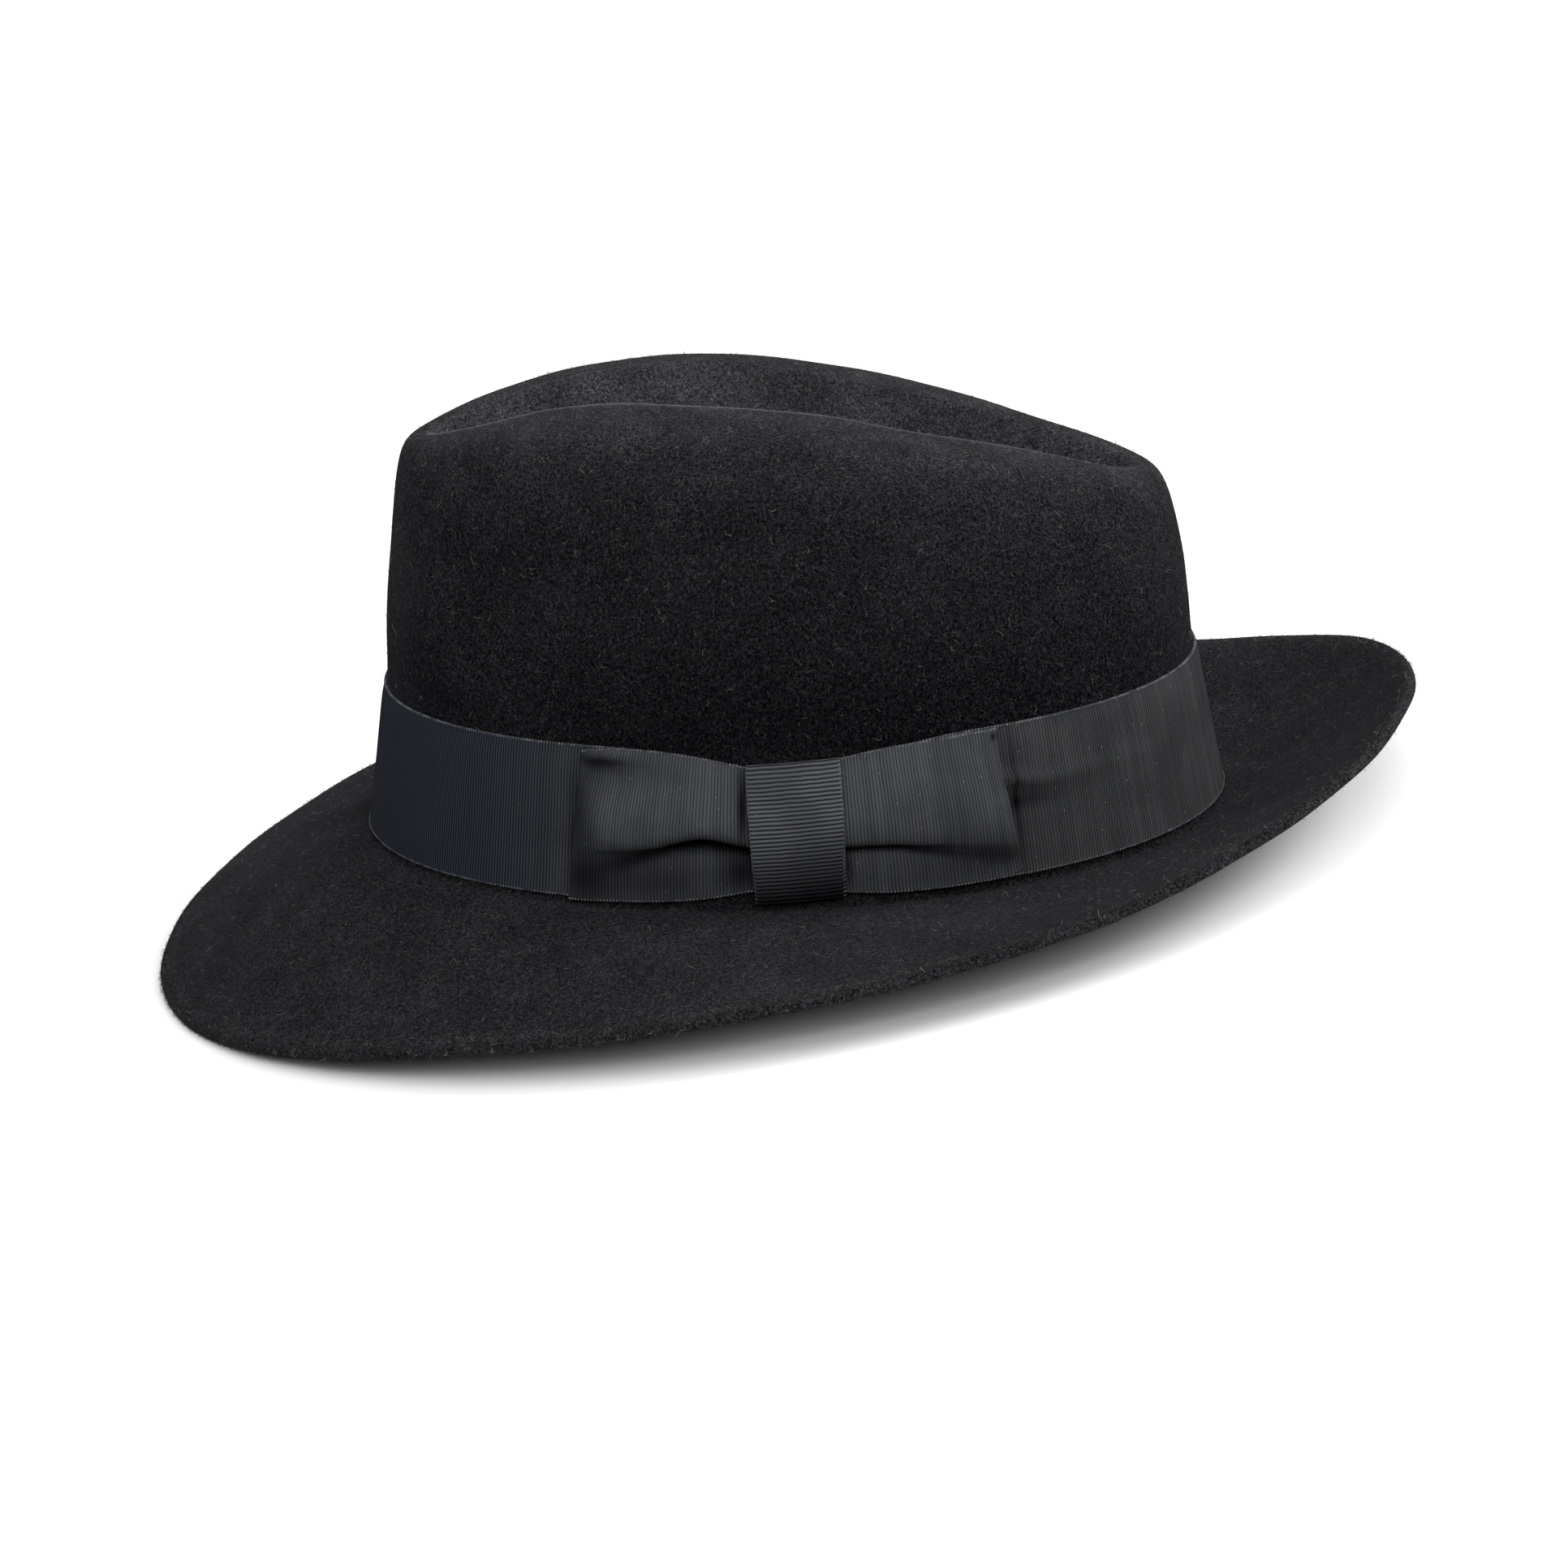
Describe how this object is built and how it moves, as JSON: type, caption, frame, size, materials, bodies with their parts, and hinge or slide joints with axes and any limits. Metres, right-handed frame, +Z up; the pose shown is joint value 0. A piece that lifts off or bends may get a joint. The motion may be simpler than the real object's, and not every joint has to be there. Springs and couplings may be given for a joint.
{
  "type": "fedora hat",
  "caption": "Felt fedora with a teardrop dent in the crown, a brim snapped down in front and up behind, and a grosgrain band tied in a flat side bow",
  "frame": {"origin": "middle of the overall box at its base, on the surface the hat rests on", "axes": "-Y is the front of the brim, +X is the side with the bow (the left of a wearer), +Z is up"},
  "size_m": [0.2766, 0.3116, 0.1247],
  "materials": {
    "felt": "matte black wool felt with a fine pale nap",
    "grosgrain": "ribbed grosgrain ribbon with a soft sheen"
  },
  "bodies": {
    "root": {"felt_body": "felt", "ribbon_band": "grosgrain", "bow_ribbon": "grosgrain", "bow_knot": "grosgrain"}
  },
  "joints": []
}
